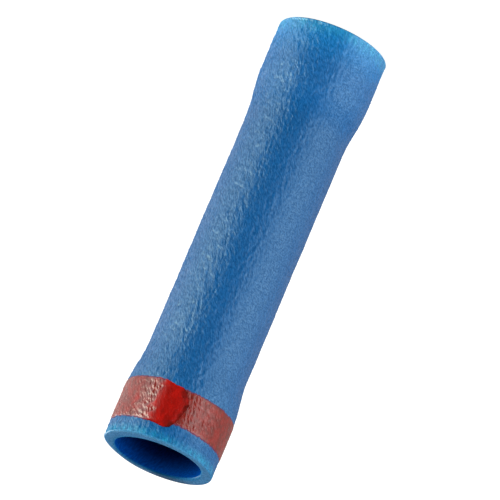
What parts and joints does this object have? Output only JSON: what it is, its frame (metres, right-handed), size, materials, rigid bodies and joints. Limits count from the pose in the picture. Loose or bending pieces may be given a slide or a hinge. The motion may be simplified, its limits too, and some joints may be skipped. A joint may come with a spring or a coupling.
{
  "type": "butt splice connector",
  "caption": "Tubular butt splice with a blue flared insulating sleeve over a stepped crimp barrel with a wire stop, joining wires end to end; a red band marks the smaller bore.",
  "frame": {"origin": "on the tube's axis, in the plane of the plain rim that the splice stands on", "axes": "+Z along the tube's axis from the plain end to the marked end; -Y towards the lap of the marking band"},
  "size_m": [0.0066, 0.0066, 0.027],
  "materials": {
    "blue_nylon": "matte nylon with a fine crinkled grain",
    "tinned_copper": "satin tin plating over copper",
    "red_ink": "thin brushed-on ink, glossy and crinkled, doubled where the stroke laps"
  },
  "bodies": {
    "root": {"insulation_sleeve": "blue_nylon", "crimp_barrel": "tinned_copper", "marking_band": "red_ink"}
  },
  "joints": []
}
